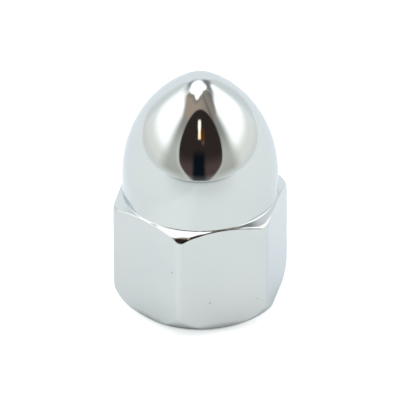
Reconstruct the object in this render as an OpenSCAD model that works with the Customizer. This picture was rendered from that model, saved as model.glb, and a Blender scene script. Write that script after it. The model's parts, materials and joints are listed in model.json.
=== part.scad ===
// Tall cap nut: a hexagon with polished edges under a pointed dome, closed at the top,
// with a tapped hole from below. It is one solid, made from hexagon bar.
// The nut stands on its bearing ring. The origin is the ring's centre, and +Z runs up the axis.

/* [Overall] */
// Width across the flats of the hexagon
across_flats = 17; // [14:0.5:21]
// Height of the whole nut, from the bearing ring to the tip of the dome
total_h = 27.3; // [24.5:0.1:33]
// Height of the hexagon, up to the foot of the dome
hex_h = 13; // [10:0.1:16]

/* [Hexagon edges] */
// Radius that the six upright corners are polished to
corner_r = 1; // [0.5:0.1:2]
// Radius that the lower edges of the flats are polished to
edge_r = 1.3; // [0.6:0.1:1.5]
// How far the bearing ring stands back from the flats
ring_step = 1.4; // [0.8:0.1:2]
// Slope of the turned foot outside the bearing ring, in degrees up from level
foot_angle = 15; // [8:1:25]
// Radius that turns the foot up into the six corners
foot_r = 3.2; // [2.5:0.1:4]
// Slope of the turned shoulder, in degrees down from level
shoulder_angle = 27; // [20:1:36]
// Radius that turns the shoulder over into the six corners
shoulder_r = 0.7; // [0.4:0.1:1.4]

/* [Dome] */
// How far the foot of the dome stands back from the flats
dome_step = 0.15; // [0.1:0.05:1]
// Height of the straight wall at the foot of the dome
wall_h = 2.2; // [1:0.1:4]
// Radius of the dome's rounded tip
tip_r = 3.5; // [2:0.1:5]

/* [Tapped hole] */
// Diameter of the hole inside the thread, which is the tapping size for M10
bore_d = 8.5; // [6.8:0.1:10.2]
// Depth of the hole's straight wall, below the drill's point
bore_depth = 18; // [12:0.5:20]
// Diameter of the countersunk mouth
mouth_d = 10.8; // [10.3:0.1:12.5]

/* [Hidden] */
$fn = 160;

// Angles across the points of the drill and of the countersink
drill_angle = 118;
countersink_angle = 90;
// How far the hexagon and the dome run into each other, which joins them
join = 0.05;
// Each blending arc is drawn this much full, so that it crosses its neighbour and doesn't just touch it
graze = 0.001;
// The turned outline clears the corners by this much, so that it cuts only above and below
turning_clearance = 0.05;

flats = 6;
sector = 360 / flats;
flat_r = across_flats / 2;
bar_h = hex_h + join;
bearing_r = flat_r - ring_step;
dome_r = flat_r - dome_step;
bore_r = bore_d / 2;
mouth_r = mouth_d / 2;

// Each corner's rounding touches both of its flats, where their straight stretches end
corner_centre = (flat_r - corner_r) / cos(sector / 2);
flat_length = 2 * (flat_r - corner_r) * tan(sector / 2);
turned_r = corner_centre + corner_r + turning_clearance;

// The foot's arc is upright at the turned radius and touches the slope, which starts at the ring
foot_centre_r = turned_r - foot_r;
foot_touch_r = foot_centre_r + foot_r * sin(foot_angle);
foot_centre_z = (foot_touch_r - bearing_r) * tan(foot_angle) + foot_r * cos(foot_angle);
foot_end_z = (turned_r - bearing_r) * tan(foot_angle);

// The shoulder's arc is upright at the turned radius and touches the slope, which ends at the dome
shoulder_centre_r = turned_r - shoulder_r;
shoulder_touch_r = shoulder_centre_r + shoulder_r * sin(shoulder_angle);
shoulder_centre_z = hex_h - (shoulder_touch_r - dome_r) * tan(shoulder_angle)
    - shoulder_r * cos(shoulder_angle);
shoulder_low_z = hex_h - (turned_r - dome_r) * tan(shoulder_angle);
shoulder_top_z = hex_h + join * tan(shoulder_angle);

// The flank's arc is upright at the top of the straight wall, and the tip's arc touches it
flank_z = hex_h + wall_h;
tip_z = total_h - tip_r - 2 * graze;
rise = tip_z - flank_z;
flank_r = (pow(dome_r, 2) + pow(rise, 2) - pow(tip_r, 2)) / (2 * (dome_r - tip_r));
flank_centre_r = dome_r - flank_r;
touch_angle = atan2(rise, -flank_centre_r);
touch_z = tip_z + tip_r * sin(touch_angle);

// Section across one pair of flats, with its lower edges rounded
module flats_section() {
    round_centre = flat_r - edge_r;
    intersection() {
        translate([-flat_r, 0])
            square([across_flats, bar_h]);
        union() {
            translate([-round_centre, 0])
                square([2 * round_centre, bar_h]);
            translate([-flat_r, edge_r])
                square([across_flats, bar_h]);
            for (side = [-1, 1])
                translate([side * round_centre, edge_r])
                    circle(edge_r + graze);
        }
    }
}

// Bar of that section, which lies square to one pair of flats
module flats_bar() {
    rotate([90, 0, 0])
        linear_extrude(2 * turned_r, center = true)
            flats_section();
}

// Plan of the six rounded corners, reaching past the flats between them
module corners_plan() {
    for (normal = [sector / 2 : sector : 179])
        rotate(normal)
            square([across_flats + 2 * join, flat_length], center = true);
    for (corner = [0 : sector : 359])
        rotate(corner)
            translate([corner_centre, 0])
                circle(corner_r + graze);
}

// Half-section of the turning that takes the hexagon's corners off at the foot and the shoulder
module turned_outline() {
    intersection() {
        polygon([
            [0, 0],
            [bearing_r, 0],
            [turned_r, foot_end_z],
            [turned_r, shoulder_low_z],
            [dome_r - join, shoulder_top_z],
            [0, shoulder_top_z]
        ]);
        union() {
            square([foot_touch_r, bar_h]);
            translate([foot_centre_r, foot_centre_z])
                circle(foot_r + graze);
            translate([0, foot_centre_z])
                square([turned_r, shoulder_centre_z - foot_centre_z]);
            translate([shoulder_centre_r, shoulder_centre_z])
                circle(shoulder_r + graze);
            translate([0, foot_centre_z])
                square([shoulder_touch_r, bar_h - foot_centre_z]);
        }
    }
}

module hexagon() {
    intersection() {
        intersection_for (normal = [sector / 2 : sector : 179])
            rotate(normal)
                flats_bar();
        linear_extrude(bar_h)
            corners_plan();
        rotate_extrude()
            turned_outline();
    }
}

// Half-section of the dome: a straight wall, the flank's arc and the tip's arc
module dome_outline() {
    foot_z = hex_h - join;
    intersection() {
        translate([0, foot_z])
            square([dome_r, total_h]);
        union() {
            translate([0, foot_z])
                square([dome_r, flank_z - foot_z]);
            translate([flank_centre_r, flank_z])
                circle(flank_r + graze);
        }
        union() {
            translate([0, foot_z])
                square([dome_r, touch_z - foot_z]);
            translate([0, tip_z])
                circle(tip_r + 2 * graze);
        }
    }
}

// Half-section of the blind hole: countersunk mouth, straight wall and the drill's point
module hole_outline() {
    mouth_h = (mouth_r - bore_r) / tan(countersink_angle / 2);
    point_h = bore_r / tan(drill_angle / 2);
    polygon([
        [0, -join],
        [mouth_r + join * tan(countersink_angle / 2), -join],
        [bore_r, mouth_h],
        [bore_r, bore_depth],
        [0, bore_depth + point_h]
    ]);
}

module cap_nut() {
    color("gainsboro")
        difference() {
            union() {
                hexagon();
                rotate_extrude()
                    dome_outline();
            }
            rotate_extrude()
                hole_outline();
        }
}

cap_nut();
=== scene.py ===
# Looks of the tall cap nut: one closed chrome skin with softly polished edges, and the thread in its hole.
# Lengths are in millimetres and angles in degrees, except where a name or comment says metres or radians.
import json
import math

import bmesh
import bpy
import numpy as np
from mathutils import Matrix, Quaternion, Vector


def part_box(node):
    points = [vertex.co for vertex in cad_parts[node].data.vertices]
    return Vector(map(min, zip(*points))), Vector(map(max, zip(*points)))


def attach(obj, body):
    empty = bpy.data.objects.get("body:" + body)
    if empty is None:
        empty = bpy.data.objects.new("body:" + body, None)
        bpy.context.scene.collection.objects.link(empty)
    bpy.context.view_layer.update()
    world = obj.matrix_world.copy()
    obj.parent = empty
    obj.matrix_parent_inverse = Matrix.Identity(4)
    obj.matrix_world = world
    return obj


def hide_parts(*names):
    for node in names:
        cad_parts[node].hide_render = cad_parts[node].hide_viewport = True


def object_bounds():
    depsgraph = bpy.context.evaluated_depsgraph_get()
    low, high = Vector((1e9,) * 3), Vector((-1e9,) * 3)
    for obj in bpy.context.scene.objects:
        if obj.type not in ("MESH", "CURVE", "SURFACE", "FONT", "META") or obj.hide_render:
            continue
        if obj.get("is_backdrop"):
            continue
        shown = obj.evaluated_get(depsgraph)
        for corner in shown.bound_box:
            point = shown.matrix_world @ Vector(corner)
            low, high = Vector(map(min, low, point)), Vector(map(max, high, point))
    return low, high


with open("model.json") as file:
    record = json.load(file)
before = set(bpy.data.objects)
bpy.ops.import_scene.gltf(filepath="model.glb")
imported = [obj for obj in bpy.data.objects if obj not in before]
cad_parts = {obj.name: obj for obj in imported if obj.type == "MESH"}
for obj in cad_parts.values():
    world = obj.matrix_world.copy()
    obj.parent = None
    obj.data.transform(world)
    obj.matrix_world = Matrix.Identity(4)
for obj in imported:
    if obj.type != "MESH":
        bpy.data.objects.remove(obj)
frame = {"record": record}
cad_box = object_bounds()

METRES = 0.001
NODE = "cap_nut"


def sin(angle):
    return math.sin(math.radians(angle))


def cos(angle):
    return math.cos(math.radians(angle))


def tan(angle):
    return math.tan(math.radians(angle))


# ---- Sizes: the overall ones and the hole's radius come from the frame, and the others repeat part.scad ----

node_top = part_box(NODE)[1] / METRES
tapped_hole = next(mount for mount in frame["record"]["mounts"] if mount["name"] == "tapped_hole")

total_h = node_top.z
flat_r = node_top.y
hex_h = 13
corner_r = 1.0
edge_r = 1.3
ring_step = 1.4
foot_angle = 15
foot_r = 3.2
shoulder_angle = 27
turning_clearance = 0.05
dome_step = 0.15
wall_h = 2.2
tip_r = 3.5
bore_r = tapped_hole["dims"]["r_mm"]
bore_depth = 18
drill_angle = 118
mouth_r = 5.4

# The shoulder is polished unevenly, and its corners at 0, 240 and 300 degrees about the axis are the
# roundest. Two lists of directions about the axis, each with its value, follow: the radius that turns the
# shoulder over into the corners, and how far to each side the polish on the ridge below it reaches.
worn_shoulder = [(0, 1.2), (16, 0.7), (48, 0.7), (60, 0.8), (72, 0.7), (232, 0.7), (243, 1.5),
                 (250, 1.4), (262, 0.7), (284, 0.7), (296, 0.85), (304, 0.85), (316, 0.7), (344, 0.7)]
worn_ridge = [(0, 0.2), (60, 0.15), (180, 0.15), (222, 0.1), (236, 0.16), (244, 0.26), (251, 0.36),
              (258, 0.17), (280, 0.19), (290, 0.38), (300, 0.44), (312, 0.2)]
# Height under the ridge over which that polish takes in the upright corners
ridge_fade = 1.2

# Polish on the other edges that the CAD solid leaves sharp
foot_polish = 0.12
dome_foot_polish = 0.12

# Pits through the plating: the flat's direction about the axis, how far along the flat, height, and radius
pits = [(210, 3.83, 8.07, 0.14), (270, -1.45, 4.03, 0.125), (270, 3.86, 3.61, 0.09)]
# A pit's depth, how far it reaches and how far its bare metal reaches, each to be multiplied by its radius
pit_depth = 0.4
pit_reach = 2.5
pit_bare = 0.8

# M10 coarse thread
pitch = 1.5
thread_r = 5.0
thread_angle = 60
thread_low = 0.3
thread_high = 16.9
# Half the width of the thread's root and the width of a flank, as shares of the pitch
thread_root_half = 1 / 16
thread_flank = (thread_r - bore_r) * tan(thread_angle / 2) / pitch

SECTOR = 60
bearing_r = flat_r - ring_step
dome_r = flat_r - dome_step
corner_centre = (flat_r - corner_r) / cos(SECTOR / 2)
corner_half_radians = math.atan2(corner_r * sin(SECTOR / 2), corner_centre + corner_r * cos(SECTOR / 2))
turned_r = corner_centre + corner_r + turning_clearance

foot_centre_r = turned_r - foot_r
foot_touch_r = foot_centre_r + foot_r * sin(foot_angle)
foot_touch_z = (foot_touch_r - bearing_r) * tan(foot_angle)
foot_centre_z = foot_touch_z + foot_r * cos(foot_angle)

flank_z = hex_h + wall_h
tip_z = total_h - tip_r
rise = tip_z - flank_z
flank_r = (dome_r ** 2 + rise ** 2 - tip_r ** 2) / (2 * (dome_r - tip_r))
flank_centre_r = dome_r - flank_r
touch_angle = math.degrees(math.atan2(rise, -flank_centre_r))


# ---- Form of the skin, as a radius at each turn about the axis (in radians) and height ----

def root(square):
    """Square root, or 0 where the square is below 0."""
    return np.sqrt(np.maximum(square, 0))


def smooth(share):
    share = np.clip(share, 0, 1)
    return share ** 2 * (3 - 2 * share)


def polished_min(a, b, reach):
    """The smaller of two radii. The edge between them is rounded off where they differ by less than reach."""
    near = np.maximum(1 - np.abs(a - b) / reach, 0)
    return np.minimum(a, b) - reach / 4 * near ** 2


def polished_max(a, b, reach):
    return -polished_min(-a, -b, reach)


def eased(turn, places):
    """Values given at a few places round the axis, with smooth changes between them."""
    turns = [place[0] for place in places] + [360]
    values = np.array([place[1] for place in places] + [places[0][1]])
    position = np.interp(np.degrees(turn) % 360, turns, range(len(turns)))
    low = np.minimum(position.astype(int), len(places) - 1)
    share = smooth(position - low)
    return values[low] * (1 - share) + values[low + 1] * share


def from_corner(turn):
    """Turn from the hexagon's nearest corner. The corners lie on +X and every sixth of a turn from it."""
    sixth = math.radians(SECTOR)
    return (turn + sixth / 2) % sixth - sixth / 2


def plan_radius(turn):
    """The hexagon's plan: flats with rounded corners."""
    off = from_corner(turn)
    flat = flat_r / np.cos(math.radians(SECTOR / 2) - np.abs(off))
    rounded = corner_centre * np.cos(off) + root(corner_r ** 2 - (corner_centre * np.sin(off)) ** 2)
    return np.where(np.abs(off) < corner_half_radians, rounded, flat)


def edge_radius(turn, z):
    """The flats with their rounded lower edges."""
    inset = edge_r - root(edge_r ** 2 - np.clip(edge_r - z, 0, edge_r) ** 2)
    return (flat_r - inset) / np.cos(math.radians(SECTOR / 2) - np.abs(from_corner(turn)))


def shoulder_arc_at(turn):
    """The arc that turns the shoulder over: its radius, its centre, and where it touches the slope."""
    radius = eased(turn, worn_shoulder)
    centre_r = turned_r - radius
    touch_r = centre_r + radius * sin(shoulder_angle)
    touch_z = hex_h - (touch_r - dome_r) * tan(shoulder_angle)
    return radius, centre_r, touch_z - radius * cos(shoulder_angle), touch_r, touch_z


def turned_radius(turn, z):
    """The turning that takes the corners off, with a slope and an arc at the foot and at the shoulder."""
    foot_slope = bearing_r + z / tan(foot_angle)
    foot_arc = foot_centre_r + root(foot_r ** 2 - np.minimum(z - foot_centre_z, 0) ** 2)
    radius, centre_r, centre_z, touch_r, touch_z = shoulder_arc_at(turn)
    shoulder_slope = dome_r + (hex_h - z) / tan(shoulder_angle)
    shoulder_arc = centre_r + root(radius ** 2 - np.maximum(z - centre_z, 0) ** 2)
    foot = np.where(z < foot_touch_z, foot_slope, foot_arc)
    shoulder = np.where(z > touch_z, shoulder_slope, shoulder_arc)
    return np.minimum(foot, shoulder)


def dome_radius(z):
    return np.where(z < flank_z, dome_r, flank_centre_r + root(flank_r ** 2 - (z - flank_z) ** 2))


def skin_radius(turn, z):
    """The hexagon and the lower dome."""
    plan = plan_radius(turn)
    side = np.minimum(plan, edge_radius(turn, z))
    reach = np.where(z < hex_h / 2, foot_polish, eased(turn, worn_ridge))
    # Well below the ridge the polish leaves the six corners alone
    spare = np.minimum(reach, turned_r - plan)
    near_ridge = smooth((z - ridge_height(turn)) / ridge_fade + 1)
    hexagon = polished_min(side, turned_radius(turn, z), spare + (reach - spare) * near_ridge)
    return np.where(z < hex_h / 2, hexagon, polished_max(hexagon, dome_radius(z), dome_foot_polish))


def ridge_height(turn):
    """Height at which the shoulder meets the hexagon's side."""
    plan = plan_radius(turn)
    radius, centre_r, centre_z, touch_r, touch_z = shoulder_arc_at(turn)
    on_slope = hex_h - (plan - dome_r) * tan(shoulder_angle)
    on_arc = centre_z + root(radius ** 2 - (plan - centre_r) ** 2)
    return np.where(plan < touch_r, on_slope, on_arc)


def skin_normals(points):
    """Exact normals of the skin at points on it, so that its reflections run smoothly."""
    x, y, z = points.T
    turn = np.arctan2(y, x)
    radius = np.hypot(x, y)
    outward = np.stack([np.cos(turn), np.sin(turn), np.zeros_like(turn)], 1)
    along = np.stack([-np.sin(turn), np.cos(turn), np.zeros_like(turn)], 1)
    up = np.array([0.0, 0.0, 1.0])

    small_turn, small_rise = 1e-4, 1e-3
    slope_turn = (skin_radius(turn + small_turn, z) - skin_radius(turn - small_turn, z)) / (2 * small_turn)
    low = np.maximum(z - small_rise, 0)
    slope_rise = (skin_radius(turn, z + small_rise) - skin_radius(turn, low)) / (z + small_rise - low)
    lean = slope_turn / np.maximum(radius, small_rise)
    normals = outward - along * lean[:, None] - up * slope_rise[:, None]

    flank = outward * (radius - flank_centre_r)[:, None] + up * (z - flank_z)[:, None]
    tip = points - up * tip_z
    touch_z = tip_z + tip_r * sin(touch_angle)
    normals = np.where((z > flank_z)[:, None], flank, normals)
    normals = np.where((z > touch_z)[:, None], tip, normals)
    return normals / np.linalg.norm(normals, axis=1)[:, None]


# ---- Columns and rows of the skin's mesh ----

# Columns in each corner's zone, which reaches this far to each side, in each flat between two zones, and in
# each sixth of the hole. The hole's number divides the first two's sum, for the bearing ring's sake.
CORNER_ZONE = 4
CORNER_COLUMNS = 20
FLAT_COLUMNS = 44
HOLE_COLUMNS = 16

# Heights where the foot's rows and the lower rows end, and how far the close rows reach to each side of the
# ridge and of the dome's foot
FOOT_ROWS_END = 1.4
LOWER_ROWS_END = 3.4
RIDGE_HALF = 0.25
DOME_FOOT_HALF = 0.07
FLANK_ROWS = 38
TIP_ROWS = 18


def spread(start, end, count):
    """Steps from start up to just before end."""
    return [start + (end - start) * step / count for step in range(count)]


def skin_turns():
    """The columns, closer together round each corner."""
    turns = []
    for corner in range(0, 360, SECTOR):
        turns += spread(corner - CORNER_ZONE, corner + CORNER_ZONE, CORNER_COLUMNS)
        turns += spread(corner + CORNER_ZONE, corner + SECTOR - CORNER_ZONE, FLAT_COLUMNS)
    return np.radians(turns)


def ring_points(turn, radius, z):
    radius = np.broadcast_to(radius, turn.shape)
    z = np.broadcast_to(z, turn.shape)
    return np.stack([radius * np.cos(turn), radius * np.sin(turn), z], 1)


def skin_rows(turn):
    """Rows from the bearing ring to the tip. They follow the ridge between the sides and the shoulder."""
    ridge = ridge_height(turn)
    above_ridge = np.minimum(ridge + RIDGE_HALF, (ridge + hex_h - DOME_FOOT_HALF) / 2)
    # Where each band of rows starts, and how many it has
    bands = [(0, 18), (FOOT_ROWS_END, 8), (LOWER_ROWS_END, 8), (ridge - ridge_fade, 6),
             (ridge - RIDGE_HALF, 8), (ridge, 8), (above_ridge, 12), (hex_h - DOME_FOOT_HALF, 8),
             (hex_h + DOME_FOOT_HALF, 4)]
    ends = [start for start, count in bands[1:]] + [flank_z]
    rows = []
    for (start, count), end in zip(bands, ends):
        rows += [ring_points(turn, skin_radius(turn, z), z) for z in spread(start, end, count)]
    for angle in spread(0, touch_angle, FLANK_ROWS):
        rows.append(ring_points(turn, flank_centre_r + flank_r * cos(angle), flank_z + flank_r * sin(angle)))
    for angle in spread(touch_angle, 90, TIP_ROWS) + [90]:
        rows.append(ring_points(turn, tip_r * cos(angle), tip_z + tip_r * sin(angle)))
    return rows


# ---- The hole: countersink, thread, wall and drill point ----

CHROME, HOLE_PLATING = 0, 1


def thread_fractions():
    """Shares of the pitch, counted from the middle of a crest, at which the thread's outline bends."""
    flank_end = 0.5 - thread_root_half
    lower = [0, flank_end - thread_flank, flank_end - thread_flank / 2, flank_end]
    return lower + [0.5] + [1 - f for f in reversed(lower[1:])]


def hole_radius(turn, z):
    """The thread, which starts in the countersink and runs out over its last turn."""
    from_root = np.abs((z / pitch - turn / (2 * math.pi)) % 1 - 0.5)
    depth = np.clip((thread_root_half + thread_flank - from_root) / thread_flank, 0, 1)
    runout = np.clip((thread_high - z) / pitch, 0, 1)
    thread = bore_r + (thread_r - bore_r) * depth * runout
    return np.maximum(thread, mouth_r - z)


def hole_turns():
    count = HOLE_COLUMNS * 360 // SECTOR
    return np.radians(spread(-CORNER_ZONE, 360 - CORNER_ZONE, count))


def add_row(mesh, points):
    return [mesh.verts.new(Vector(point) * METRES) for point in points]


def add_face(mesh, corners, material):
    """Adds a face, unless so many of its corners are one vertex that nothing is left of it."""
    corners = list(dict.fromkeys(corners))
    if len(corners) < 3:
        return
    face = mesh.faces.new(corners)
    face.material_index = material
    face.smooth = True


def join_rows(mesh, lower, upper, material):
    """Quads between two closed rows. They face outwards if the upper row is higher."""
    for left in range(len(lower)):
        right = (left + 1) % len(lower)
        add_face(mesh, [lower[left], lower[right], upper[right], upper[left]], material)


def add_thread(mesh, turn, material):
    """Rows that climb with the thread, cut off level at both ends. Where they meet the next turn, each row
    joins the row one pitch higher."""
    fractions = thread_fractions()
    first, last = math.floor(thread_low / pitch) - 1, math.ceil(thread_high / pitch)
    rises = [fraction + number for number in range(first, last + 1) for fraction in fractions]
    rows = [add_row(mesh, ring_points(turn, hole_radius(turn, thread_low), thread_low))]
    z_below = thread_low
    for climb in rises:
        z = np.clip(pitch * (climb + turn / (2 * math.pi)), thread_low, thread_high)
        row = add_row(mesh, ring_points(turn, hole_radius(turn, z), z))
        level = z <= z_below
        rows.append([old if same else new for old, new, same in zip(rows[-1], row, level)])
        z_below = z
    top = len(rows) - 1
    for left in range(len(turn)):
        for low in range(top):
            if left + 1 < len(turn):
                right_low, right_high = rows[low][left + 1], rows[low + 1][left + 1]
            else:
                right_low = rows[min(low + len(fractions), top)][0]
                right_high = rows[min(low + 1 + len(fractions), top)][0]
            add_face(mesh, [rows[low][left], rows[low + 1][left], right_high, right_low], material)


def add_hole(mesh, turn, material):
    """Adds the hole and returns its mouth's row."""
    point_z = bore_depth + bore_r / tan(drill_angle / 2)
    mouth = add_row(mesh, ring_points(turn, mouth_r, 0.0))
    thread_start = add_row(mesh, ring_points(turn, mouth_r - thread_low, thread_low))
    join_rows(mesh, thread_start, mouth, material)
    add_thread(mesh, turn, material)
    outline = [(bore_r, thread_high), (bore_r, bore_depth), (bore_r / 2, (bore_depth + point_z) / 2)]
    below = None
    for radius, z in outline + [(0.0, point_z)]:
        row = add_row(mesh, ring_points(turn, radius, z))
        if below:
            join_rows(mesh, row, below, material)
        below = row
    return mouth


def add_bearing_ring(mesh, inner, outer, material):
    """The flat ring between the hole's mouth and the skin, which has more columns than the hole."""
    share = len(outer) // len(inner)
    for number in range(len(inner)):
        following = (number + 1) % len(inner)
        arc = [outer[(number * share + step) % len(outer)] for step in range(share + 1)]
        add_face(mesh, [inner[number], inner[following]] + arc[::-1], material)


# ---- Pits ----

# Round a pit, mesh edges longer than this are halved, and halved again, up to this number of times
PIT_EDGE = 0.05
PIT_HALVINGS = 6
# Cosine of the widest angle between a flat's normal and a normal that counts as the flat's
FACES_OUTWARD = 0.9


def pit_frames():
    """Each pit's centre, its flat's outward normal and its radius."""
    for facing, along, z, radius in pits:
        outward = np.array([cos(facing), sin(facing), 0.0])
        sideways = np.array([-sin(facing), cos(facing), 0.0])
        yield outward * flat_r + sideways * along + np.array([0.0, 0.0, z]), outward, radius


def press_pits(mesh):
    """Divides the skin finely round each pit, presses the pit in and bares the metal at its bottom."""
    for centre, outward, radius in pit_frames():
        place = Vector(centre) * METRES
        reach = pit_reach * radius * METRES
        for halving in range(PIT_HALVINGS):
            edges = set()
            for face in mesh.faces:
                middle = face.calc_center_median()
                size = max((corner.co - middle).length for corner in face.verts)
                if (middle - place).length < size + reach:
                    edges.update(edge for edge in face.edges if edge.calc_length() > PIT_EDGE * METRES)
            bmesh.ops.subdivide_edges(mesh, edges=list(edges), cuts=1, use_grid_fill=True)
        for face in mesh.faces:
            if (face.calc_center_median() - place).length < pit_bare * radius * METRES:
                face.material_index = HOLE_PLATING
        for vertex in mesh.verts:
            distance = (vertex.co - place).length
            if distance < reach:
                share = distance / (radius * METRES)
                vertex.co -= Vector(outward) * pit_depth * radius * math.exp(-share ** 2) * METRES


def tilt_at_pits(points, normals):
    """Normals that follow the pits' hollows where the points lie on a pitted flat."""
    for centre, outward, radius in pit_frames():
        away = points - centre
        away = away - (away @ outward)[:, None] * outward
        hollow = pit_depth * radius * np.exp(-(away ** 2).sum(1) / radius ** 2)
        on_flat = (normals @ outward > FACES_OUTWARD)[:, None]
        normals = np.where(on_flat, normals - 2 / radius ** 2 * hollow[:, None] * away, normals)
    return normals / np.linalg.norm(normals, axis=1)[:, None]


# ---- The nut's mesh and normals ----

WELD_METRES = 1e-7
SHARP_ANGLE = 25


def nut_mesh():
    mesh = bmesh.new()
    rows = [add_row(mesh, points) for points in skin_rows(skin_turns())]
    for lower, upper in zip(rows, rows[1:]):
        join_rows(mesh, lower, upper, CHROME)
    mouth = add_hole(mesh, hole_turns(), HOLE_PLATING)
    add_bearing_ring(mesh, mouth, rows[0], CHROME)
    bmesh.ops.remove_doubles(mesh, verts=mesh.verts, dist=WELD_METRES)
    for edge in mesh.edges:
        edge.smooth = edge.is_manifold and edge.calc_face_angle() < math.radians(SHARP_ANGLE)
    press_pits(mesh)
    data = bpy.data.meshes.new("nut_skin")
    mesh.to_mesh(data)
    mesh.free()
    return data


def set_normals(data):
    """Gives the skin its exact normals. A normal of zero leaves a face its own, as in the hole, whose thread
    has crisp edges, and in the pits' bare metal."""
    points = np.array([vertex.co for vertex in data.vertices]) / METRES
    exact = tilt_at_pits(points, skin_normals(points))
    normals = np.zeros((len(data.loops), 3))
    for face in data.polygons:
        if face.material_index == HOLE_PLATING:
            continue
        for loop in face.loop_indices:
            corner = data.loops[loop].vertex_index
            normals[loop] = exact[corner] if face.center.z > 0 else (0, 0, -1)
    data.normals_split_custom_set(normals.tolist())


# ---- Materials ----

class Nodes:
    """A node tree, with a short call for each kind of node that the materials and the tent use most."""

    def __init__(self, owner):
        owner.use_nodes = True
        self.tree = owner.node_tree
        self.tree.nodes.clear()

    def put(self, socket, value):
        if isinstance(value, bpy.types.NodeSocket):
            self.tree.links.new(value, socket)
        else:
            socket.default_value = value

    def add(self, kind, inputs, **settings):
        node = self.tree.nodes.new(kind)
        for name, value in settings.items():
            setattr(node, name, value)
        for name, value in inputs.items():
            self.put(node.inputs[name], value)
        return node

    def math(self, operation, *values):
        inputs = dict(enumerate(values))
        return self.add("ShaderNodeMath", inputs, operation=operation).outputs[0]

    def product(self, first, *others):
        for other in others:
            first = self.math("MULTIPLY", first, other)
        return first

    def step(self, value, start, end):
        """Rises smoothly from 0 at start to 1 at end. Start may be the larger one."""
        low, high, at_low, at_high = (start, end, 0, 1) if start < end else (end, start, 1, 0)
        inputs = {"Value": value, "From Min": low, "From Max": high, "To Min": at_low, "To Max": at_high}
        return self.add("ShaderNodeMapRange", inputs, interpolation_type="SMOOTHSTEP").outputs[0]

    def map(self, value, low, high, at_low, at_high):
        """Goes evenly from at_low at low to at_high at high, and no further."""
        inputs = {"Value": value, "From Min": low, "From Max": high, "To Min": at_low, "To Max": at_high}
        return self.add("ShaderNodeMapRange", inputs).outputs[0]

    def between(self, value, start, full, fading, end):
        """1 between full and fading, and 0 outside start and end."""
        return self.product(self.step(value, start, full), self.step(value, end, fading))

    def mix(self, share, base, other):
        """Blends two colours. A share of 1 is all the other one."""
        node = self.add("ShaderNodeMix", {0: share}, data_type="RGBA")
        self.put(node.inputs[6], rgba(base))
        self.put(node.inputs[7], rgba(other))
        return node.outputs[2]

    def dot(self, vector, direction):
        inputs = {0: vector, 1: direction}
        return self.add("ShaderNodeVectorMath", inputs, operation="DOT_PRODUCT").outputs["Value"]

    def distance(self, place, other):
        inputs = {0: place, 1: other}
        return self.add("ShaderNodeVectorMath", inputs, operation="DISTANCE").outputs["Value"]


def rgba(colour):
    return colour if isinstance(colour, bpy.types.NodeSocket) else (*colour, 1)


CHROME_CLOUDY = (0.66, 0.705, 0.715)
CHROME_CLEAR = (0.675, 0.72, 0.725)
CHROME_EDGE_ON = (0.91, 0.95, 0.99)
CHROME_ROUGHNESS = (0.035, 0.06)
RIPPLE_METRES = 2e-6
BARE_STEEL = (0.33, 0.33, 0.32)
THIN_PLATING = (0.50, 0.51, 0.51)
HOLE_ROUGHNESS = (0.24, 0.42)
TAP_MARK_METRES = 1e-5


def noise(nodes, scale, detail):
    """Noise in the object's own space, with its scale in cells per metre."""
    place = nodes.add("ShaderNodeTexCoord", {}).outputs["Object"]
    inputs = {"Vector": place, "Scale": scale, "Detail": detail}
    return nodes.add("ShaderNodeTexNoise", inputs).outputs[0]


def chrome_material():
    """Mirror-polished plating: a faint cloudiness, and the finest ripple left by the polishing wheel."""
    material = bpy.data.materials.new("polished_chrome")
    nodes = Nodes(material)
    cloud = nodes.step(noise(nodes, scale=150, detail=3), 0.3, 0.7)
    colour = nodes.mix(cloud, CHROME_CLOUDY, CHROME_CLEAR)
    roughness = nodes.map(noise(nodes, scale=420, detail=4), 0.3, 0.7, *CHROME_ROUGHNESS)
    waves = noise(nodes, scale=500, detail=2)
    ripple = nodes.add("ShaderNodeBump", {"Height": waves, "Distance": RIPPLE_METRES, "Strength": 0.5})
    shader = nodes.add("ShaderNodeBsdfPrincipled", {
        "Base Color": colour, "Metallic": 1.0, "Roughness": roughness, "Normal": ripple.outputs[0],
        "Specular Tint": rgba(CHROME_EDGE_ON)})
    nodes.add("ShaderNodeOutputMaterial", {"Surface": shader.outputs[0]})
    return material


def hole_material():
    """Plating thins out inside the hole, where the tap's marks and a grey steel show through. The bare metal
    in the pits has this material too."""
    material = bpy.data.materials.new("plating_in_the_hole")
    nodes = Nodes(material)
    patches = nodes.step(noise(nodes, scale=700, detail=5), 0.35, 0.65)
    colour = nodes.mix(patches, BARE_STEEL, THIN_PLATING)
    roughness = nodes.map(noise(nodes, scale=1500, detail=4), 0.3, 0.7, *HOLE_ROUGHNESS)
    scratches = noise(nodes, scale=4000, detail=3)
    marks = nodes.add("ShaderNodeBump", {"Height": scratches, "Distance": TAP_MARK_METRES, "Strength": 0.4})
    shader = nodes.add("ShaderNodeBsdfPrincipled", {
        "Base Color": colour, "Metallic": 1.0, "Roughness": roughness, "Normal": marks.outputs[0]})
    nodes.add("ShaderNodeOutputMaterial", {"Surface": shader.outputs[0]})
    return material


# ---- Camera ----

CAMERA_AZIMUTH = -16.3
CAMERA_ELEVATION = 32.5
CAMERA_DISTANCE = 965
CAMERA_ROLL = -0.23
VIEW_WIDTH = 42.78
AIM_HEIGHT = 11.63
AIM_ASIDE = -0.03
SENSOR = 36

UP = Vector((0, 0, 1))
toward_camera = Vector((sin(CAMERA_AZIMUTH), -cos(CAMERA_AZIMUTH), 0))
to_the_right = Vector((cos(CAMERA_AZIMUTH), sin(CAMERA_AZIMUTH), 0))


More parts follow.
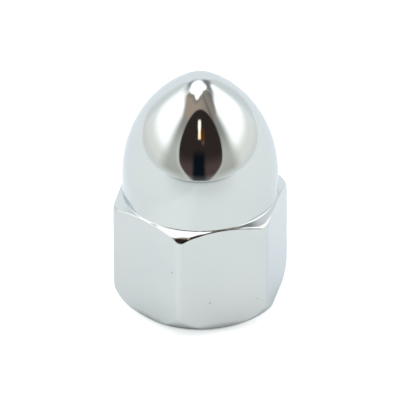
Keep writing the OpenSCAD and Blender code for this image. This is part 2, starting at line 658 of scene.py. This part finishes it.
def make_camera():
    data = bpy.data.cameras.new("camera")
    data.sensor_width = SENSOR
    data.lens = SENSOR * CAMERA_DISTANCE / VIEW_WIDTH
    camera = bpy.data.objects.new("camera", data)
    back = toward_camera * cos(CAMERA_ELEVATION) + UP * sin(CAMERA_ELEVATION)
    camera.location = (UP * AIM_HEIGHT + to_the_right * AIM_ASIDE + back * CAMERA_DISTANCE) * METRES
    level = (-back).to_track_quat("-Z", "Y")
    camera.rotation_euler = (level @ Quaternion((0, 0, 1), math.radians(CAMERA_ROLL))).to_euler()
    bpy.context.scene.collection.objects.link(camera)
    bpy.context.scene.camera = camera


# ---- Light: a pale tent round the nut, with a soft box each side and a round opening towards the camera ----

SIDE_WALL = (0.98, 0.96, 0.90)
BACK_WALL = (1.0, 1.02, 1.04)
BACK_LEFT_PATCH = (0.86, 0.88, 0.86)
BACK_RIGHT_PATCH = (0.85, 0.87, 0.86)
WALL_FOOT_LEFT = (0.84, 0.84, 0.79)
WALL_FOOT_RIGHT = (0.93, 0.93, 0.88)
CURTAIN_FOOT = (0.54, 0.53, 0.48)
CURTAIN = (0.60, 0.59, 0.54)
CURTAIN_TOP_LEFT = (0.37, 0.36, 0.33)
CURTAIN_TOP_RIGHT = (0.36, 0.355, 0.335)
SOFT_BOX = (1.7, 1.68, 1.66)
HIGH_BAND = (0.27, 0.275, 0.28)
ROOF = (1.6, 1.6, 1.6)
BROWN_LEFT = (0.47, 0.37, 0.29)
BROWN_RIGHT = (0.35, 0.29, 0.25)
BROWN_FAR_RIGHT = (0.22, 0.22, 0.21)
BROWN_TOP = (0.34, 0.29, 0.25)
FOLD = (0.10, 0.095, 0.09)
RIM = (0.85, 0.85, 0.82)
ROOM = (0.036, 0.026, 0.023)
ROOM_FOOT = (0.10, 0.067, 0.06)
ROOM_STRIPE = (0.005, 0.008, 0.013)
GLOW = (0.12, 0.04, 0.005)
EMBER = (0.15, 0.08, 0.064)
LAMP_FOOT = (1.5, 1.15, 0.72)
LAMP_TOP = (1.6, 1.48, 1.28)
TENT_FOOT = (0.85, 0.86, 0.84)
BELOW_TENT = (1.0, 1.0, 1.0)
TENT_STRENGTH = 1.0


class Tent(Nodes):
    """The tent as the nut sees it, each part of it painted over the parts before it. A place in it has a
    side, which is its turn from the direction of the photo's camera and grows to the right, and a height over
    the horizon. The bare numbers below are such angles, and shares of 1."""

    def __init__(self, world):
        super().__init__(world)
        self.direction = self.add("ShaderNodeTexCoord", {}).outputs["Generated"]
        across = self.dot(self.direction, to_the_right)
        towards = self.dot(self.direction, toward_camera)
        self.side = self.math("DEGREES", self.math("ARCTAN2", across, towards))
        self.away = self.math("ABSOLUTE", self.side)
        self.height = self.math("DEGREES", self.math("ARCSINE", self.dot(self.direction, UP)))

    def angle_from(self, side, height):
        """Angle from the place at that side and height."""
        level = toward_camera * cos(side) + to_the_right * sin(side)
        towards = self.dot(self.direction, level * cos(height) + UP * sin(height))
        return self.math("DEGREES", self.math("ARCCOSINE", towards))

    def walls(self):
        """A warm white at the sides and a bluer one behind, with two greyer patches and a darker foot."""
        wall = self.mix(self.step(self.away, 95, 135), SIDE_WALL, BACK_WALL)
        wall = self.mix(self.between(self.side, -142, -134, -128, -118), wall, BACK_LEFT_PATCH)
        wall = self.mix(self.between(self.side, 122, 134, 142, 154), wall, BACK_RIGHT_PATCH)
        foot = self.product(self.between(self.height, 0, 1, 2, 11), self.step(self.away, 140, 100))
        foot_colour = self.mix(self.step(self.side, -40, 40), WALL_FOOT_LEFT, WALL_FOOT_RIGHT)
        return self.mix(foot, wall, foot_colour)

    def curtain(self, wall):
        """A grey curtain round the opening. It darkens upwards, and sooner on the right."""
        foot = self.mix(self.step(self.height, 3, 20), CURTAIN_FOOT, CURTAIN)
        left = self.mix(self.step(self.height, 22, 50), foot, CURTAIN_TOP_LEFT)
        right = self.mix(self.step(self.height, 16, 42), foot, CURTAIN_TOP_RIGHT)
        curtain = self.mix(self.step(self.side, -10, 10), left, right)
        return self.mix(self.step(self.away, 72, 50), wall, curtain)

    def over_boxes(self):
        """Height over the soft boxes' upper edge, which rises to the sides and lies lower on the left."""
        edge = self.math("MULTIPLY_ADD", self.step(self.away, 50, 80), 7.8, 51.6)
        drop = self.product(self.step(self.side, -60, -80), 1.7)
        return self.math("ADD", self.math("SUBTRACT", self.height, edge), drop)

    def soft_boxes(self, wall, over_boxes):
        left = self.between(self.side, -127, -106, -72, -50)
        right = self.between(self.side, 52, 74, 114, 130)
        lower_edge, upper_edge = self.step(self.height, 11, 27), self.step(over_boxes, 3, -6)
        boxes = self.product(self.math("MAXIMUM", left, right), lower_edge, upper_edge)
        return self.mix(boxes, wall, SOFT_BOX)

    def high_band(self, wall):
        """A grey band high up behind the nut, strongest on the right, and the white roof over it."""
        swing = self.math("RADIANS", self.side)
        middle = self.math("MULTIPLY_ADD", self.math("SINE", swing), 2.6, 61.9)
        middle = self.math("MULTIPLY_ADD", self.math("COSINE", swing), 5.4, middle)
        off_middle = self.math("SUBTRACT", self.height, middle)
        # The distances over and under its middle are scaled, so that its edges come sooner or later
        slow_right = self.between(self.side, 104, 132, 150, 172)
        steep_left = self.map(self.side, -40, 40, 1.45, 1)
        over = self.product(off_middle, steep_left, self.map(slow_right, 0, 1, 1, 0.7))
        low_left = self.product(self.between(self.side, -148, -126, -114, -104), 0.5)
        low = self.math("MAXIMUM", self.between(self.side, 118, 144, 148, 164), low_left)
        under = self.product(off_middle, self.map(low, 0, 1, 1, 0.5))
        right_depth = self.between(self.side, 84, 98, 152, 184)
        left_depth = self.product(self.between(self.side, -184, -132, -116, -90), 0.83)
        depth = self.math("MAXIMUM", self.math("MAXIMUM", right_depth, left_depth), 0.15)
        lower_edge, upper_edge = self.step(under, -12, -1), self.step(over, 11, 2)
        band = self.product(lower_edge, upper_edge, depth, self.step(self.away, 78, 94))
        roof = self.mix(self.step(over, 0, 8), wall, ROOF)
        wall = self.mix(self.step(self.away, 84, 98), wall, roof)
        return self.mix(band, wall, HIGH_BAND)

    def brown_wall(self, wall, over_boxes):
        """A brown-grey wall over the opening, with one dark fold in it, under the edge of the white roof."""
        arch = self.math("COSINE", self.math("RADIANS", self.math("SUBTRACT", self.side, 35)))
        edge = self.math("MULTIPLY_ADD", arch, 5.4, 73.6)
        dip = self.product(self.between(self.side, -58, -30, -22, 4), 3)
        ends = self.product(self.step(self.away, 58, 100), 7)
        edge = self.math("SUBTRACT", self.math("SUBTRACT", edge, dip), ends)
        below_edge = self.math("SUBTRACT", edge, self.height)
        brown = self.mix(self.step(self.side, -12, 45), BROWN_LEFT, BROWN_RIGHT)
        brown = self.mix(self.step(self.side, 55, 85), brown, BROWN_FAR_RIGHT)
        brown = self.mix(self.between(below_edge, 6, 2, 1, -1), brown, BROWN_TOP)
        brown_here = self.product(self.step(over_boxes, -3, 4), self.step(self.away, 98, 86))
        wall = self.mix(brown_here, wall, brown)
        fold = self.product(self.between(self.side, 32, 37, 41, 46), self.step(self.height, 24, 42), 0.5)
        wall = self.mix(fold, wall, FOLD)
        roof = self.product(self.step(below_edge, 1, -2), self.step(self.away, 104, 92))
        return self.mix(roof, wall, ROOF)

    def room(self):
        """A dark room with a plain darker stripe in its middle, and a strip lamp beside a warm glow."""
        room = self.mix(self.step(self.height, 24, 10), ROOM, ROOM_FOOT)
        stripe = self.product(self.between(self.side, -15, -8, 4, 11), self.step(self.height, 31, 21))
        room = self.mix(stripe, room, ROOM_STRIPE)
        glow = self.product(self.between(self.side, -3, 1, 8, 13), self.between(self.height, 36, 39, 45, 49))
        room = self.mix(glow, room, GLOW)
        ember = self.product(self.between(self.side, 1, 5, 7, 11), self.between(self.height, 31, 35, 36, 38))
        room = self.mix(ember, room, EMBER)
        half_width = self.map(self.height, 45, 50, 2.9, 4.1)
        off_lamp = self.math("ABSOLUTE", self.math("ADD", self.side, 1.35))
        lamp_width = self.step(self.math("DIVIDE", off_lamp, half_width), 1.5, 0.55)
        lamp = self.product(lamp_width, self.between(self.height, 36.9, 39.2, 54, 56.8))
        return self.mix(lamp, room, self.mix(self.step(self.height, 38, 49), LAMP_FOOT, LAMP_TOP))

    def opening(self, wall):
        """The opening, drawn round an upper and a lower centre and narrower at its foot, with a pale rim."""
        from_upper = self.angle_from(1.2, 32.2)
        closing = self.math("MULTIPLY_ADD", self.step(self.height, 15, 3), 4.2, -1.6)
        from_lower = self.math("ADD", self.angle_from(1.2, 28.6), closing)
        from_centre = self.math("MINIMUM", from_upper, from_lower)
        rim = self.product(self.between(from_centre, 33.6, 35, 36, 39), self.step(self.height, 44, 20),
                           self.map(self.side, -40, 40, 0.5, 0.1))
        wall = self.mix(rim, wall, RIM)
        return self.mix(self.step(from_centre, 34.5, 32.1), wall, self.room())

    def foot(self, wall):
        """The walls grow pale towards the horizon, and it is white below that."""
        paling = self.product(self.step(self.height, 6.2, -0.3), self.map(self.away, 8, 50, 0.1, 1),
                              self.step(self.away, 140, 110))
        wall = self.mix(paling, wall, TENT_FOOT)
        return self.mix(self.step(self.height, 0.3, -0.3), wall, BELOW_TENT)


def make_tent():
    world = bpy.data.worlds.new("tent")
    bpy.context.scene.world = world
    tent = Tent(world)
    over_boxes = tent.over_boxes()
    colour = tent.curtain(tent.walls())
    colour = tent.high_band(tent.soft_boxes(colour, over_boxes))
    colour = tent.opening(tent.brown_wall(colour, over_boxes))
    shader = tent.add("ShaderNodeBackground", {"Color": tent.foot(colour), "Strength": TENT_STRENGTH})
    tent.add("ShaderNodeOutputWorld", {"Surface": shader.outputs[0]})


# ---- Floor ----

FLOOR_HALF = 2000
FLOOR_WHITE = (0.93, 0.95, 0.957)
FLOOR_PAINTED_CONTACT_SHADOW = (0.1, 0.1, 0.1)
BLACK = (0, 0, 0)

# How much painted shade greys the floor in front of the nut, and the distances over which that grows. The
# shaded part is a wedge towards the camera, and it fades in between two ratios of the distances aside and
# ahead.
NEAR_PAINTED_SHADE, NEAR_PAINTED_SHADE_GROWS = 0.14, (15, 120)
FAR_PAINTED_SHADE, FAR_PAINTED_SHADE_GROWS = 0.58, (20, 1000)
PAINTED_SHADE_WEDGE_EDGES = (1.6, 0.2)

# How much the floor is lifted as it is seen straight, as the chrome mirrors it, and as the chrome mirrors a
# stretch of it on the left, which is painted light and starts and ends at the distances aside that follow
LIFT_SEEN = 0.65
LIFT_MIRRORED = 0.2
MIRRORED_LEFT_PAINTED_LIGHT = 0.25
PAINTED_LIGHT_LEFT_STRETCH = (-32, -24, -10, -2)

# Distances from the nut's axis over which the floor turns dark beneath it, a painted contact shadow, and each
# lift begins. The mirrored lift's distances count from a point this far ahead of the axis, and inside them
# the chrome mirrors the floor's real shadow made darker by painted shade.
PAINTED_CONTACT_SHADOW_EDGE = (7.6, 7.0)
SEEN_EDGE = (6.9, 8.0)
MIRRORED_EDGE = (7.2, 10.0)
MIRRORED_CENTRE_AHEAD = 1.0


def metres(lengths):
    return [length * METRES for length in lengths]


def floor_material():
    """White card, a little bluish. As seen, straight or in the chrome, it is lifted to white, and the nut's
    shadow still falls on it. In front of the nut a painted shade greys it far off, where less of the tent
    lights it."""
    material = bpy.data.materials.new("white_card")
    nodes = Nodes(material)
    place = nodes.add("ShaderNodeTexCoord", {}).outputs["Object"]
    ahead = nodes.dot(place, toward_camera)
    aside = nodes.dot(place, to_the_right)
    spread_out = nodes.math("DIVIDE", nodes.math("ABSOLUTE", aside), nodes.math("MAXIMUM", ahead, METRES))
    painted_shade_wedge = nodes.step(spread_out, *PAINTED_SHADE_WEDGE_EDGES)
    # Painted shade: a wedge of floor in front of the nut is darkened, a little near it and more far off
    near = nodes.product(painted_shade_wedge, nodes.step(ahead, *metres(NEAR_PAINTED_SHADE_GROWS)), NEAR_PAINTED_SHADE)
    far = nodes.product(painted_shade_wedge, nodes.step(ahead, *metres(FAR_PAINTED_SHADE_GROWS)), FAR_PAINTED_SHADE)
    from_axis = nodes.distance(place, (0, 0, 0))
    colour = nodes.mix(far, nodes.mix(near, FLOOR_WHITE, BLACK), BLACK)
    # Painted contact shadow: the floor beneath the nut is painted dark
    colour = nodes.mix(nodes.step(from_axis, *metres(PAINTED_CONTACT_SHADOW_EDGE)), colour, FLOOR_PAINTED_CONTACT_SHADOW)
    card = nodes.add("ShaderNodeBsdfDiffuse", {"Color": colour, "Roughness": 0.0})

    path = nodes.add("ShaderNodeLightPath", {})
    seen = nodes.product(path.outputs["Is Camera Ray"], LIFT_SEEN, nodes.step(from_axis, *metres(SEEN_EDGE)))
    mirrored = nodes.math("MAXIMUM", path.outputs["Is Glossy Ray"], path.outputs["Is Transmission Ray"])
    # Painted light: the floor as the chrome mirrors it is lifted more on a stretch on the left
    painted_light_on_the_left = nodes.between(aside, *metres(PAINTED_LIGHT_LEFT_STRETCH))
    lift_mirrored = nodes.map(painted_light_on_the_left, 0, 1, LIFT_MIRRORED, MIRRORED_LEFT_PAINTED_LIGHT)
    # Painted shade: the mirrored lift is left out round a point just ahead of the nut, so the chrome mirrors
    # a darker floor there than its real shadow alone gives
    from_centre = nodes.distance(place, toward_camera * MIRRORED_CENTRE_AHEAD * METRES)
    mirrored = nodes.product(mirrored, lift_mirrored, nodes.step(from_centre, *metres(MIRRORED_EDGE)))
    lift = nodes.add("ShaderNodeEmission", {"Color": colour, "Strength": nodes.math("ADD", seen, mirrored)})
    shader = nodes.add("ShaderNodeAddShader", {0: card.outputs[0], 1: lift.outputs[0]})
    nodes.add("ShaderNodeOutputMaterial", {"Surface": shader.outputs[0]})
    return material


def make_floor():
    data = bpy.data.meshes.new("floor")
    half = FLOOR_HALF * METRES
    corners = [(-half, -half, 0), (half, -half, 0), (half, half, 0), (-half, half, 0)]
    data.from_pydata(corners, [], [(0, 1, 2, 3)])
    data.materials.append(floor_material())
    floor = bpy.data.objects.new("floor", data)
    bpy.context.scene.collection.objects.link(floor)
    floor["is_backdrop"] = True


# ---- Put together ----

def make_nut():
    data = nut_mesh()
    set_normals(data)
    data.materials.append(chrome_material())
    data.materials.append(hole_material())
    nut = bpy.data.objects.new("chrome_nut", data)
    bpy.context.scene.collection.objects.link(nut)
    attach(nut, "root")
    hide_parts(NODE)


bpy.context.scene.view_settings.view_transform = "Standard"
make_camera()
make_tent()
make_floor()
make_nut()

boxes = {"cad": cad_box, "visual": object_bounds()}
{name: [list(corner) for corner in box] for name, box in boxes.items()}
